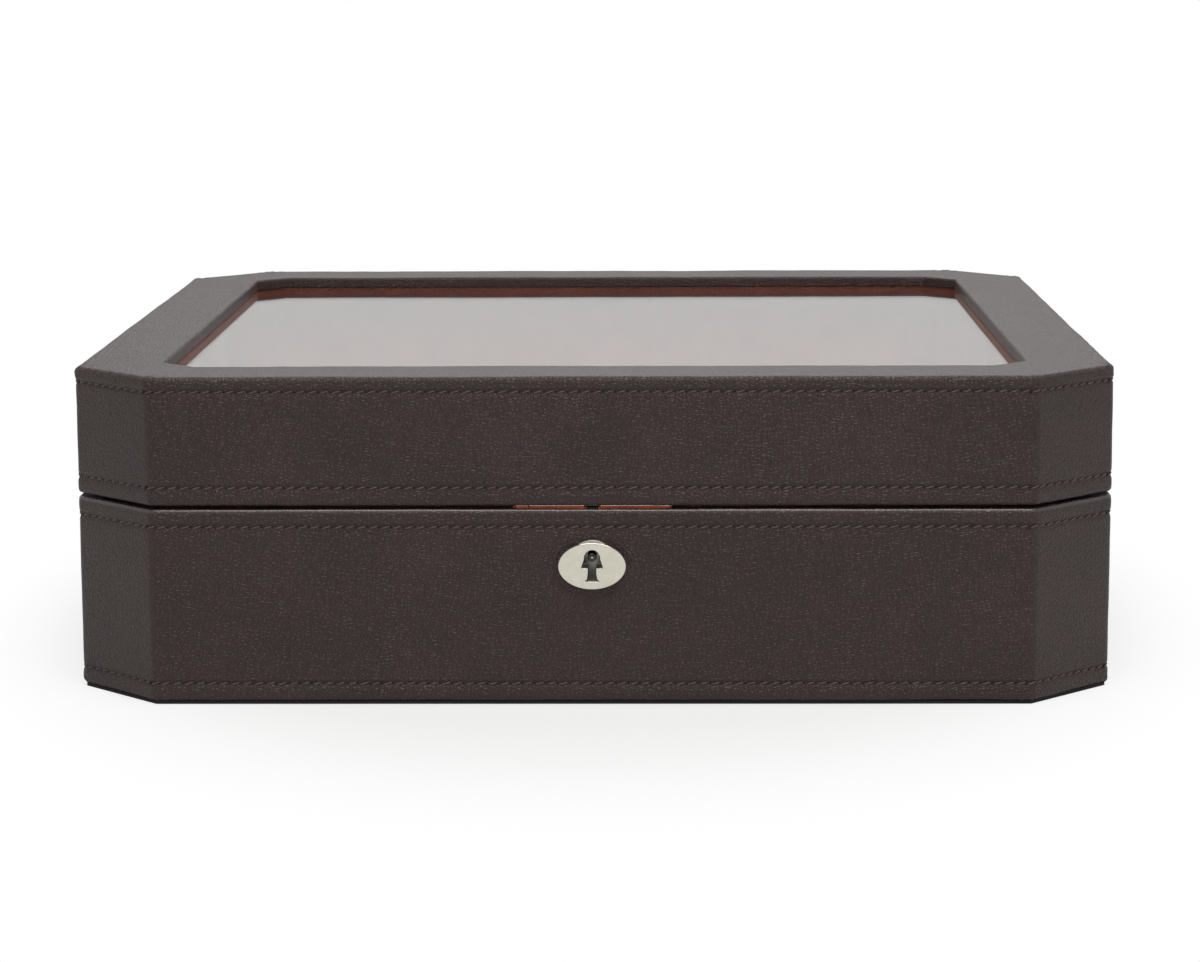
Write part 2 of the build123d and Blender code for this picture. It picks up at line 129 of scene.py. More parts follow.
def add_node(finish, kind, *values, **fields):
    """Add a node. Values fill its inputs in order, fields fill the input or setting of that name."""
    node = finish.node_tree.nodes.new(kind)
    for name, value in fields.items():
        if name in node.inputs:
            feed(finish, node.inputs[name], value)
        else:
            setattr(node, name, value)
    for socket, value in zip(node.inputs, values):
        feed(finish, socket, value)
    return node


def calculate(finish, operation, *values):
    return add_node(finish, "ShaderNodeMath", *values, operation=operation).outputs["Value"]


def map_range(finish, value, low=0.0, high=1.0, at_low=0.0, at_high=1.0, curve="LINEAR"):
    """At low it gives at_low and at high at_high, with a straight or a smooth run between."""
    return add_node(finish, "ShaderNodeMapRange", value, low, high, at_low, at_high,
                    interpolation_type=curve).outputs["Result"]


def blend(finish, kind, share, first, second):
    return add_node(finish, "ShaderNodeMixRGB", share, first, second, blend_type=kind).outputs["Color"]


def mix_shaders(finish, share, first, second):
    """Let the second shader take the given share of the surface from the first."""
    mixed = add_node(finish, "ShaderNodeMixShader", share, first.outputs[0], second.outputs[0])
    feed(finish, finish.node_tree.nodes["Material Output"].inputs["Surface"], mixed.outputs["Shader"])


print("helpers for nodes ready")

# %% [markdown]
# A pattern has to stay on its piece when the lid swings, so its place is taken on the piece itself.
# Noise is the raw grain of every finish here: it tints the colour, breaks the gloss and makes the relief.

# %% Helpers for finishes
def new_finish(name):
    finish = bpy.data.materials.new(name)
    finish.use_nodes = True
    return finish, finish.node_tree.nodes["Principled BSDF"]


def set_shader(finish, shader, values):
    for name, value in values.items():
        feed(finish, shader.inputs[name], value)


def place_on_piece(finish):
    """Place on the piece itself, in metres."""
    return add_node(finish, "ShaderNodeTexCoord").outputs["Object"]


def surface_place(finish, stretch=(1.0, 1.0, 1.0)):
    """Place on the piece, stretched for patterns that are longer one way."""
    place = place_on_piece(finish)
    return add_node(finish, "ShaderNodeMapping", Vector=place, Scale=stretch).outputs["Vector"]


def upward_part(finish, place):
    """Height of a place, or how far a direction looks up."""
    return add_node(finish, "ShaderNodeSeparateXYZ", place).outputs["Z"]


def grain(finish, place, waves, detail=2.0, roughness=0.5):
    """Noise between 0 and 1, with about so many waves to the metre."""
    return add_node(finish, "ShaderNodeTexNoise", Vector=place, Scale=waves, Detail=detail,
                    Roughness=roughness).outputs["Fac"]


def two_tone(finish, factor, dark, light, low=0.3, high=0.7):
    """Colour that runs from dark to light as the factor runs from low to high."""
    ramp = add_node(finish, "ShaderNodeValToRGB", factor)
    for end, place, colour in zip(ramp.color_ramp.elements, (low, high), (dark, light)):
        end.position = place
        end.color = (*colour, 1.0)
    return ramp.outputs["Color"]


def relief(finish, shader, height, strength, distance):
    bump = add_node(finish, "ShaderNodeBump", Height=height, Strength=strength, Distance=distance)
    feed(finish, shader.inputs["Normal"], bump.outputs["Normal"])


print("helpers for finishes ready")

# %% [markdown]
# The leather is full grain with fine pebbles, about a millimetre across, and a satin coat.
# A photograph of leather would tile and blur, so the pebbles are grown instead.
# Cells give the creases, a finer noise gives the pores, and a slow noise makes the dye uneven; the colour is
# also painted darker in the creases as painted shade and lighter on the pebble tops as a painted highlight.
# A thin sheen lightens the rims, which the camera sees at a flat angle, and leaves the walls dark.
# The lid closes on the top edge of the base every day, so that edge is rubbed glossier than the rest.
# The gloss there is a second coat, laid on by height, and only where the leather curves over the edge.

# %% Brown pebbled leather
pebbles_a_metre = 780.0
pores_a_metre = 1900.0
pore_height = 0.7
rubbed_from = 1.3
rubbed_full = 0.5
rubbed_above = 0.6
rubbed_gloss = 0.14
still_curved = 0.85
quite_flat = 0.985
crease_width = 0.22


def top_edge_of_base(finish):
    """1 on the rounded edge that the lid comes down on, 0 elsewhere."""
    height = upward_part(finish, place_on_piece(finish))
    near_top = map_range(finish, height, (base_high.z - rubbed_from) * MM, (base_high.z - rubbed_full) * MM,
                         curve="SMOOTHSTEP")
    below_lid = calculate(finish, "LESS_THAN", height, (base_high.z + rubbed_above) * MM)
    facing_up = upward_part(finish, add_node(finish, "ShaderNodeNewGeometry").outputs["Normal"])
    curved = map_range(finish, facing_up, still_curved, quite_flat, 1.0, 0.0, curve="SMOOTHSTEP")
    return calculate(finish, "MULTIPLY", calculate(finish, "MULTIPLY", near_top, below_lid), curved)


def pebble_height(finish, place, pores):
    """Height of the grain: cells with creases between them, and pores all over."""
    wander = add_node(finish, "ShaderNodeTexNoise", Vector=place, Scale=260.0).outputs["Color"]
    shifted = blend(finish, "LINEAR_LIGHT", 0.0009, place, wander)
    pebbles = add_node(finish, "ShaderNodeTexVoronoi", feature="DISTANCE_TO_EDGE", Vector=shifted,
                       Scale=pebbles_a_metre)
    crease = map_range(finish, pebbles.outputs["Distance"], 0.0, crease_width, curve="SMOOTHSTEP")
    return calculate(finish, "MULTIPLY_ADD", pores, pore_height, crease)


def brown_leather():
    finish, shader = new_finish("brown_leather")
    place = surface_place(finish)
    pores = grain(finish, place, pores_a_metre, 3.0, 0.6)
    height = pebble_height(finish, place, pores)
    relief(finish, shader, height, 0.8, 0.00022)
    dye = grain(finish, place, 38.0, 4.0, 0.55)
    tone = two_tone(finish, dye, (0.024, 0.0124, 0.0114), (0.036, 0.0186, 0.0172))
    # painted shade in the creases and painted highlight on the pebble tops, by the height of the grain
    shade = two_tone(finish, height, (0.6, 0.58, 0.58), (1.12, 1.1, 1.1), 0.35, 1.0)
    rubbed = top_edge_of_base(finish)
    satin = map_range(finish, pores, 0.0, 1.0, 0.36, 0.5)
    set_shader(finish, shader, {
        "Base Color": blend(finish, "MULTIPLY", 1.0, tone, shade),
        "Roughness": calculate(finish, "MULTIPLY_ADD", rubbed, -rubbed_gloss, satin),
        "IOR": 1.48, "Specular Tint": (1.0, 0.93, 0.9, 1.0),
        "Coat Weight": rubbed, "Coat Roughness": 0.24, "Coat IOR": 1.52,
        "Sheen Weight": 0.05, "Sheen Roughness": 0.3, "Sheen Tint": (1.0, 0.92, 0.9, 1.0),
    })
    return finish


leather_finish = brown_leather()
print(leather_finish.name, "ready")

# %% [markdown]
# The thread is a polyester twist in nearly the same brown, a little lighter and redder than the leather.
# Each hole that the needle left is dark, because light doesn't reach into it.

# %% Thread and needle holes
def brown_thread():
    finish, shader = new_finish("brown_thread")
    twist = grain(finish, surface_place(finish), 2400.0)
    relief(finish, shader, twist, 0.4, 0.00008)
    tone = two_tone(finish, twist, (0.070, 0.046, 0.045), (0.125, 0.086, 0.085))
    set_shader(finish, shader, {"Base Color": tone, "Roughness": 0.55})
    return finish


def needle_hole():
    finish, shader = new_finish("needle_hole")
    depth = grain(finish, surface_place(finish), 1500.0)
    tone = two_tone(finish, depth, (0.006, 0.004, 0.004), (0.012, 0.009, 0.008))
    set_shader(finish, shader, {"Base Color": tone, "Roughness": 0.9})
    return finish


thread_finish = brown_thread()
hole_finish = needle_hole()
print(thread_finish.name, hole_finish.name, "ready")

# %% [markdown]
# The lining is suede: its nap scatters light softly and shows lighter and darker brushed strokes.
# A stretched noise makes the strokes, a fine one the nap, and the sheen makes edges glow as fibres do.
# The lid is lined with a darker copy of the same suede, as painted shade for the shadow under the glass frame
# and behind the seam.

# %% Orange suede
def orange_suede(name, dark, light):
    finish, shader = new_finish(name)
    strokes = grain(finish, surface_place(finish, (1.0, 0.35, 1.0)), 90.0, 3.0, 0.6)
    nap = grain(finish, surface_place(finish), 3200.0, 3.0, 0.7)
    relief(finish, shader, nap, 0.6, 0.00015)
    set_shader(finish, shader, {
        "Base Color": two_tone(finish, strokes, dark, light, 0.35, 0.68),
        "Roughness": 0.92, "Specular IOR Level": 0.2,
        "Sheen Weight": 0.35, "Sheen Roughness": 0.5, "Sheen Tint": (1.0, 0.62, 0.42, 1.0),
    })
    return finish


lining_finish = orange_suede("orange_suede_lining", (0.48, 0.108, 0.046), (0.68, 0.165, 0.078))
# painted shade: the lid's lining is a darker copy of the same suede
lid_suede_painted_shade = orange_suede("orange_suede_lid_painted_shade", (0.34, 0.070, 0.030), (0.50, 0.112, 0.052))
cushion_finish = orange_suede("orange_suede_cushion", (0.46, 0.102, 0.042), (0.66, 0.158, 0.072))
print(lining_finish.name, lid_suede_painted_shade.name, cushion_finish.name, "ready")

# %% [markdown]
# Plates, oval and screws are nickel, polished but handled, so the gloss is broken by a faint haze.
# The collar behind the oval was only turned on a lathe, so the same finish gets a rougher gloss there.
# The lock works and hinge pins are plain steel, drawn through a die, with fine lines along their length.
# The end of the post that the key turns on and the link that the bolt holds are painted near black as painted
# shade.

# %% Nickel and steel
link_from_rim = 0.05


def nickel(name, dark, light, smooth, hazy):
    finish, shader = new_finish(name)
    haze = grain(finish, surface_place(finish), 420.0, 4.0, 0.6)
    relief(finish, shader, haze, 0.03, 0.00003)
    set_shader(finish, shader, {
        "Base Color": two_tone(finish, haze, dark, light), "Metallic": 1.0,
        "Roughness": map_range(finish, haze, 0.0, 1.0, smooth, hazy),
    })
    return finish


def plain_steel():
    finish, shader = new_finish("plain_steel")
    lines = grain(finish, surface_place(finish, (0.15, 1.0, 1.0)), 1800.0, 3.0)
    relief(finish, shader, lines, 0.15, 0.00005)
    tone = two_tone(finish, lines, (0.36, 0.35, 0.33), (0.5, 0.49, 0.46))
    set_shader(finish, shader, {"Base Color": tone, "Metallic": 1.0, "Roughness": 0.34})
    return finish


def paint_link_shade(finish):
    """Below the lid's rim the strike plate becomes the link, which is painted near black as shade."""
    tone = finish.node_tree.nodes["Principled BSDF"].inputs["Base Color"]
    height = upward_part(finish, place_on_piece(finish))
    below = calculate(finish, "LESS_THAN", height, (lid_low.z - link_from_rim) * MM)
    # painted shade: the link's colour is near black
    feed(finish, tone, blend(finish, "MIX", below, tone.links[0].from_socket, (0.03, 0.03, 0.028, 1.0)))


nickel_finish = nickel("polished_nickel", (0.61, 0.58, 0.50), (0.68, 0.65, 0.56), 0.03, 0.09)
collar_finish = nickel("turned_nickel", (0.42, 0.41, 0.37), (0.52, 0.51, 0.47), 0.3, 0.42)
strike_finish_link_shade = nickel("strike_nickel_link_shade", (0.74, 0.71, 0.62), (0.82, 0.79, 0.70), 0.03, 0.08)
paint_link_shade(strike_finish_link_shade)
# painted shade: near-black steel for the end of the key post
post_end_painted_shade = nickel("steel_painted_shade", (0.05, 0.045, 0.04), (0.09, 0.085, 0.08), 0.12, 0.2)
steel_finish = plain_steel()
print(nickel_finish.name, collar_finish.name, strike_finish_link_shade.name, post_end_painted_shade.name, steel_finish.name)

# %% [markdown]
# The boards are fibreboard, the pad under the box is black felt, and the rest bumpers are black rubber.
# They hardly show, but each still gets its own grain, so that no view meets a bare piece.

# %% Fibreboard, felt and rubber
def mottled_finish(name, dark, light, waves, roughness, depth):
    finish, shader = new_finish(name)
    fibres = grain(finish, surface_place(finish), waves, 5.0, 0.7)
    relief(finish, shader, fibres, 0.5, depth)
    set_shader(finish, shader, {"Base Color": two_tone(finish, fibres, dark, light), "Roughness": roughness})
    return finish


board_finish = mottled_finish("fibreboard", (0.34, 0.24, 0.15), (0.5, 0.37, 0.24), 700.0, 0.8, 0.0002)
felt_finish = mottled_finish("black_felt", (0.010, 0.009, 0.009), (0.032, 0.029, 0.029), 2200.0, 0.95, 0.0003)
rubber_finish = mottled_finish("black_rubber", (0.014, 0.014, 0.014), (0.024, 0.024, 0.024),
                               1500.0, 0.6, 0.00005)
print(board_finish.name, felt_finish.name, rubber_finish.name, "ready")

# %% [markdown]
# The window is 3 mm float glass. Light has to reach the watches through it without slow caustics.
# So shadow and diffuse rays pass a clear tinted shader, and all other rays meet real glass.

# %% Window glass
def window_glass():
    finish, shader = new_finish("window_glass")
    smear = grain(finish, surface_place(finish), 14.0, 4.0, 0.6)
    set_shader(finish, shader, {
        "Base Color": (0.95, 0.98, 0.965, 1.0), "Transmission Weight": 1.0, "IOR": 1.52,
        "Roughness": map_range(finish, smear, 0.0, 1.0, 0.0, 0.012),
    })
    clear = add_node(finish, "ShaderNodeBsdfTransparent", Color=(0.97, 0.985, 0.98, 1.0))
    rays = add_node(finish, "ShaderNodeLightPath")
    passing = calculate(finish, "MAXIMUM", rays.outputs["Is Shadow Ray"], rays.outputs["Is Diffuse Ray"])
    mix_shaders(finish, passing, shader, clear)
    return finish


glass_finish = window_glass()
print(glass_finish.name, "ready")

# %% [markdown]
# The boards, plates, pins and linings of the model are already the right shape.
# They keep it and only receive their finish, by the material slot that the record names for each.
# The strike plate, whose link is painted near black as shade, and the lining of the lid, a darker copy of the
# suede as painted shade, differ from the other nickel and suede, so they come last.

# %% Dress the pieces of the model
finish_of_slot = {
    "leather_brown": leather_finish, "board": board_finish, "suede_orange": lining_finish,
    "suede_cushion": cushion_finish, "felt_black": felt_finish, "nickel": nickel_finish,
    "steel_inner": steel_finish, "glass_clear": glass_finish, "rubber_black": rubber_finish,
}
for piece in frame["record"]["subparts"]:
    model = frame["nodes"][piece["node"]]
    if not model.material_slots:
        model.data.materials.append(None)
    for material_slot in model.material_slots:
        material_slot.material = finish_of_slot[piece["material_slot"]]
frame["nodes"]["strike_plate"].material_slots[0].material = strike_finish_link_shade
frame["nodes"]["lid_lining"].material_slots[0].material = lid_suede_painted_shade

# %% [markdown]
# The leather is one skin that runs round the box, so its mesh is swept round the eight sides.
# Round the plan go the stations: two for each stitch along a side, and a few round each corner.
# At every station the same cross-section is set up, inset by inset, so all rings fit each other.

# %% Stations round the eight sides
stitch_pitch = 3.85
corner_radius = 4.0
smallest_radius = 1.0
corner_steps = 4


def sharp_corners(inset):
    """The eight corners of the plan at an inset, from the front left, counter-clockwise."""
    x = half_width - inset
    y = half_depth - inset
    cut = corner_cut - inset * (2 - math.sqrt(2))
    return [Vector(point) for point in (
        (-x + cut, -y), (x - cut, -y), (x, -y + cut), (x, y - cut),
        (x - cut, y), (-x + cut, y), (-x, y - cut), (-x, -y + cut),
    )]


def side_normal(side):
    """Outward direction of one of the eight sides; side 0 is the front."""
    angle = math.radians(-90 + 45 * side)
    return Vector((math.cos(angle), math.sin(angle)))


def stitches_on(side):
    """Whole stitches that fit between the roundings of a side."""
    corners = sharp_corners(0)
    length = (corners[(side + 1) % 8] - corners[side]).length
    return round((length - 2 * corner_radius * math.tan(math.radians(22.5))) / stitch_pitch)


def corner_arc(corner, inset):
    """Centre and radius of the rounding at a corner; it follows the leather inwards."""
    radius = max(corner_radius - inset, smallest_radius)
    inward = -(side_normal(corner - 1) + side_normal(corner)).normalized()
    centre = sharp_corners(inset)[corner % 8] + inward * (radius / math.cos(math.radians(22.5)))
    return centre, radius


def station_points(inset):
    """All stations of one ring, with the outward direction and the pinch of the stitching at each."""
    points = []
    for side in range(8):
        start_centre, radius = corner_arc(side, inset)
        end_centre, radius = corner_arc(side + 1, inset)
        for step in range(corner_steps):
            angle = math.radians(-90 + 45 * (side - 1 + step / corner_steps))
            outward = Vector((math.cos(angle), math.sin(angle)))
            points.append((start_centre + outward * radius, outward, 0.5))
        outward = side_normal(side)
        start = start_centre + outward * radius
        end = end_centre + outward * radius
        count = 2 * stitches_on(side)
        for step in range(count):
            points.append((start.lerp(end, step / count), outward, 1.0 - step % 2))
    return points


print("stations", len(station_points(0)), "stitches a side", [stitches_on(side) for side in range(8)])

# %% [markdown]
# The cross-section is drawn as pairs of inset and height, from straight runs and quarter rounds.
# Runs that carry stitching get close rows, the hidden back of the skin gets wide ones.
# The two edges at the seam are sharper than the others, since the leather is pressed flat there.

# %% Runs and rounds of a cross-section
edge_radius = 1.8
seam_radius = 1.1
fine_row = 0.35
near_seam_row = 0.6
plain_row = 1.5
wide_row = 3.0
row_half = 1.3
shortest_row = 0.2
still_on_rim = 3.0
seam_lift = 0.35


def run(start, end, row):
    """Points from start up to, but without, the end."""
    start, end = Vector(start), Vector(end)
    count = max(1, round((end - start).length / row))
    return [start.lerp(end, step / count) for step in range(count)]


def wall_run(inset, low, high, rows):
    """Points up a wall, close together near its sewn rows and wider apart elsewhere."""
    points = []
    height = low
    while height < high - shortest_row:
        points.append(Vector((inset, height)))
        nearest = min(abs(height - row) for row in rows)
        height += fine_row if nearest < row_half + fine_row else plain_row
    return points


def round_edge(centre, radius, from_angle, to_angle, steps=6):
    """Points round a quarter turn, up to, but without, its end."""
    points = []
    for step in range(steps):
        angle = math.radians(from_angle + (to_angle - from_angle) * step / steps)
        points.append(Vector(centre) + radius * Vector((math.cos(angle), math.sin(angle))))
    return points


print("points on a round", len(round_edge((0, 0), edge_radius, 0, 90)), "and on a 20 mm run",
      len(run((0, 0), (0, 20), plain_row)))

# %% [markdown]
# Sewing pulls the leather down along each row and leaves it plump between the row and the edge.
# Hides are never flat either, so slow noise lifts the skin by a tenth of a millimetre or two.
# At the eight corners the leather was folded over the edge, and small puckers stay there.

# %% Relief of the leather
row_depth = 0.42
share_under_stitch = 0.8
share_at_hole = 1.2
plump_height = 0.14
hide_swell = 0.2
slow_wave = 31.0
quick_wave = 9.0
quick_share = 0.4
pucker_height = 0.35
pucker_reach = 10.0
pucker_flatness = 1.4
wide_fold = 1.7
narrow_fold = 3.1
narrow_share = 0.6
fold_slant = 0.8


def valley(distance, half):
    """1 in the middle of a stitched row, 0 from its sides outwards."""
    share = min(abs(distance) / half, 1.0)
    return (1 - share * share) ** 2


def wall_relief(height, rows, edges, pinch):
    """How far the wall stands out at a height; the pinch is 1 at a needle hole and 0 under a stitch."""
    depth = row_depth * (share_under_stitch + (share_at_hole - share_under_stitch) * pinch)
    lift = -sum(depth * valley(height - row, row_half) for row in rows)
    for row, edge in zip(rows, edges):
        lift += plump_height * valley(height - (row + edge) / 2, abs(edge - row) / 2)
    return lift


def hide_relief(point):
    """Swelling of the hide at a point in millimetres, slow with a little quick in it."""
    return hide_swell * (noise.noise(point / slow_wave) + quick_share * noise.noise(point / quick_wave))


def pucker_relief(point, outward, edge_height):
    """Small folds, of two wavelengths, where the skin turns over the edge at a corner of the plan."""
    lift = 0.0
    for corner in sharp_corners(0):
        away = (point.xy - corner).length
        reach = math.hypot(away, (point.z - edge_height) * pucker_flatness)
        if reach < pucker_reach:
            across = (point.xy - corner).dot(Vector((-outward.y, outward.x)))
            fold = math.sin(across * wide_fold + point.z * fold_slant)
            fold += narrow_share * math.sin(across * narrow_fold + corner.x)
            lift += pucker_height / 2 * fold * valley(reach, pucker_reach)
    return lift


print("hide lifts", round(hide_relief(Vector((50.0, 0.0, 30.0))), 3), "mm at one place")

# %% [markdown]
# The sweep sets the cross-section at every station and joins neighbours with four-sided faces.
# It closes on itself both ways, so the skin has no open edge anywhere.
# All of it is worked out in bmesh, Blender's editable form of a mesh, and then turned into a smooth piece.

# %% Pieces from points
def mesh_of(shape, name):
    """Turn a bmesh into a mesh and let the bmesh go."""
    mesh = bpy.data.meshes.new(name)
    shape.to_mesh(mesh)
    shape.free()
    return mesh


def as_piece(shape, name, finish):
    """Turn a bmesh into a smooth piece with its finish."""
    bmesh.ops.recalc_face_normals(shape, faces=shape.faces)
    for face in shape.faces:
        face.smooth = True
    mesh = mesh_of(shape, name)
    mesh.materials.append(finish)
    return put_in_scene(name, mesh)


def join_rings(shape, ring, following):
    """Four-sided faces between two rings of as many points."""
    for number in range(len(ring)):
        ahead = (number + 1) % len(ring)
        shape.faces.new((ring[number], ring[ahead], following[ahead], following[number]))


def turns(count):
    """Angles of so many even steps round a circle."""
    return [2 * math.pi * step / count for step in range(count)]


print("a ring of six starts at", [round(math.degrees(angle)) for angle in turns(6)])

# %% [markdown]
# Each point of the section is moved along the normal of the section by the relief of the leather there.
# Where boards and plates meet the skin, and at its glued back, it has to stay flat, so the relief fades out.

# %% Sweep a cross-section round the box
relief_fade = 1.2


def swept_skin(name, section, rows, edges, pucker_edges, still_inset, still_level=0.0):
    """Closed skin; its relief fades out towards still_inset, where boards and plates meet it."""
    rings = {inset: station_points(inset) for inset in {round(point[0], 4) for point in section}}
    skin = bmesh.new()
    grid = []
    for index, (inset, height) in enumerate(section):
        before = section[index - 1]
        after = section[(index + 1) % len(section)]
        along = Vector((after[0] - before[0], after[1] - before[1])).normalized()
        ring = []
        for flat, outward, pinch in rings[round(inset, 4)]:
            point = Vector((flat.x, flat.y, height))
            normal = Vector((outward.x * along.y, outward.y * along.y, along.x)).normalized()
            reach = still_inset if height > still_level else still_on_rim
            if inset < reach and abs(inset - leather) > 0.001:
                sewn = wall_relief(height, rows, edges, pinch) * valley(inset, 2 * edge_radius)
                puckered = sum(pucker_relief(point, outward, level) for level in pucker_edges)
                fade = min(1.0, (reach - inset) / relief_fade)
                point += normal * (hide_relief(point) + sewn + puckered) * fade
            ring.append(skin.verts.new(point * MM))
        grid.append(ring)
    for index, ring in enumerate(grid):
        join_rings(skin, ring, grid[(index + 1) % len(grid)])
    return as_piece(skin, name, leather_finish)


# %% [markdown]
# The base skin starts under the box, where 16 mm of leather is turned in and glued.
# It goes round the bottom edge, up the wall with its two sewn rows, over the top edge and across the rim.
# The back of the skin, 1.2 mm further in, closes the section against the boards.

# %% Leather of the base
stitch_inset = 6.0
base_rows = (base_high.z + seam_lift - stitch_inset, base_low.z + stitch_inset)
base_edges = (base_high.z + seam_lift, base_low.z)


def base_section():
    low, high = base_low.z, base_high.z
    points = run((turned_under, low), (edge_radius, low), wide_row)
    points += round_edge((edge_radius, low + edge_radius), edge_radius, 270, 180)
    points += wall_run(0, low + edge_radius, high + seam_lift - seam_radius, base_rows)
    points += round_edge((seam_radius, high + seam_lift - seam_radius), seam_radius, 180, 90)
    points += run((seam_radius, high + seam_lift), (still_on_rim, high), near_seam_row)
    points += run((still_on_rim, high), (rim_width, high), wide_row)
    points += run((rim_width, high), (rim_width, high - leather), wide_row)
    points += run((rim_width, high - leather), (leather, high - leather), 2 * wide_row)
    points += run((leather, high - leather), (leather, low + leather), 4 * wide_row)
    points += run((leather, low + leather), (turned_under, low + leather), 2 * wide_row)
    points += run((turned_under, low + leather), (turned_under, low), wide_row)
    return [tuple(point) for point in points]


base_skin = swept_skin("base_leather_skin", base_section(), base_rows, base_edges, (base_low.z,),
                       still_on_rim)
print(base_skin.name, len(base_skin.data.polygons), "faces")

# %% [markdown]
# The lid skin is the same idea turned over: rim, bottom edge, wall, top edge, the frame round the glass,
# and then down the lip of the window until it meets the glass.
# Its rim is a little plump behind the seam, so the seam is narrower inside than at its edge.

# %% Leather of the lid
lid_top_row = 4.9
lid_bottom_row = 5.9
lip_radius = 1.2
lip_row = 0.8
rim_plump = 0.15
lid_rows = (lid_high.z - lid_top_row, lid_low.z + seam_lift + lid_bottom_row)
lid_edges = (lid_high.z, lid_low.z + seam_lift)


def lid_section():
    low, high, plump = lid_low.z, lid_high.z, lid_low.z - rim_plump
    points = run((rim_width, low), (rim_width - 1, plump), near_seam_row)
    points += run((rim_width - 1, plump), (still_on_rim + 1, plump), wide_row)
    points += run((still_on_rim + 1, plump), (seam_radius, low + seam_lift), near_seam_row)
    points += round_edge((seam_radius, low + seam_lift + seam_radius), seam_radius, 270, 180)
    points += wall_run(0, low + seam_lift + seam_radius, high - edge_radius, lid_rows)
    points += round_edge((edge_radius, high - edge_radius), edge_radius, 180, 90)
    points += run((edge_radius, high), (frame_width - lip_radius, high), plain_row)
    points += round_edge((frame_width - lip_radius, high - lip_radius), lip_radius, 90, 0)
    points += run((frame_width, high - lip_radius), (frame_width, glass_top), lip_row)
    points += run((frame_width, glass_top), (frame_width - leather, glass_top), wide_row)
    points += run((frame_width - leather, glass_top), (frame_width - leather, high - leather), wide_row)
    points += run((frame_width - leather, high - leather), (leather, high - leather), 2 * wide_row)
    points += run((leather, high - leather), (leather, low + leather), 4 * wide_row)
    points += run((leather, low + leather), (rim_width, low + leather), 2 * wide_row)
    points += run((rim_width, low + leather), (rim_width, low), wide_row)
    return [tuple(point) for point in points]


lid_skin = swept_skin("lid_leather_skin", lid_section(), lid_rows, lid_edges, (lid_high.z,),
                      frame_width, glass_top)
print(lid_skin.name, len(lid_skin.data.polygons), "faces")

# %% [markdown]
# The skins are cut where metal is let in: a round hole for the barrel of the oval and beds for plates.
# A boolean with the shape of the metal is the quickest way, because the skin is already closed.

# %% Cut the skins for the metal
plate_play = 0.05
plate_thickness = 1.6
beyond_rim = 3.0
past_wall = 0.2
barrel_radius = 6.0
barrel_hole_depth = 10.0
oval_low, oval_high = box_of("escutcheon")
oval_middle = (oval_low + oval_high) / 2


def cutter_block(low, high):
    block = bmesh.new()
    bmesh.ops.create_cube(block, size=1.0)
    for vertex in block.verts:
        vertex.co = Vector([low[axis] if vertex.co[axis] < 0 else high[axis] for axis in range(3)]) * MM
    return block


def cutter_barrel():
    barrel = bmesh.new()
    place = Vector((0, -half_depth, oval_middle.z)) * MM
    bmesh.ops.create_cone(barrel, cap_ends=True, segments=48, radius1=barrel_radius * MM,
                          radius2=barrel_radius * MM, depth=barrel_hole_depth * MM,
                          matrix=Matrix.Translation(place) @ Matrix.Rotation(math.pi / 2, 4, "X"))
    return barrel


def shaped_mesh(piece):
    """Mesh as the modifiers leave it."""
    bpy.context.view_layer.update()
    return bpy.data.meshes.new_from_object(piece.evaluated_get(bpy.context.evaluated_depsgraph_get()))


def cut_away(piece, shape, name):
    """Take a closed shape out of a piece."""
    tool = put_in_scene(name, mesh_of(shape, name))
    modifier = piece.modifiers.new(name, "BOOLEAN")
    modifier.operation = "DIFFERENCE"
    modifier.solver = "MANIFOLD"
    modifier.object = tool
    cut = shaped_mesh(piece)
    piece.modifiers.clear()
    piece.data = cut
    bpy.data.objects.remove(tool)


def bed_of(node, bottom, top):
    """Block for a plate with a hair of play, without the link or knuckles that stand out of the plate."""
    low, high = box_of(node)
    play = Vector((plate_play, plate_play, 0))
    low, high = low - play, high + play
    low.z, high.z = bottom, top
    high.y = min(high.y, half_depth + past_wall)
    return cutter_block(low, high)


base_bed = (base_high.z - plate_thickness, base_high.z + beyond_rim)
lid_bed = (lid_low.z - beyond_rim, lid_low.z + plate_thickness)
cut_away(base_skin, cutter_barrel(), "barrel_hole")
for node in ("lock_selvedge", "hinge_base_leaf_left", "hinge_base_leaf_right"):
    cut_away(base_skin, bed_of(node, *base_bed), node + "_bed")
for node in ("strike_plate", "hinge_lid_leaf_left", "hinge_lid_leaf_right"):
    cut_away(lid_skin, bed_of(node, *lid_bed), node + "_bed")
print("after cutting", len(base_skin.data.polygons), len(lid_skin.data.polygons), "faces")

# %% [markdown]
# Each skin takes the place of the plain leather of the model and rides on the same body.
# So the lid's leather swings with the lid, and the base's stays where it is.

# %% Put the skins on the box
for skin_piece, node, body in ((base_skin, "base_leather", "base"), (lid_skin, "lid_leather", "lid")):
    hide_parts(node)
    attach(skin_piece, body)
print("skins ride on base and lid")

# %% [markdown]
# The seams are sewn by machine with a slightly slanted stitch, 3.85 mm long, with thread 0.6 mm thick.
# One stitch is a short sausage that dives into its holes. It is built once as rings of points,
# and then set at every stitch of a row, leaning up to the right as in the photo.

# %% One stitch and its hole
thread_radius = 0.27
thread_out = 0.13
thread_dive = 0.3
stitch_length = 3.1
stitch_lean = math.radians(17)
stitch_taper = 0.93
stitch_rings = 7
stitch_sides = 6
hole_half_width = 0.517
hole_half_height = 0.611
hole_rim_out = 0.02
hole_dome = 0.16
hole_depth = 0.4
hole_sides = 8


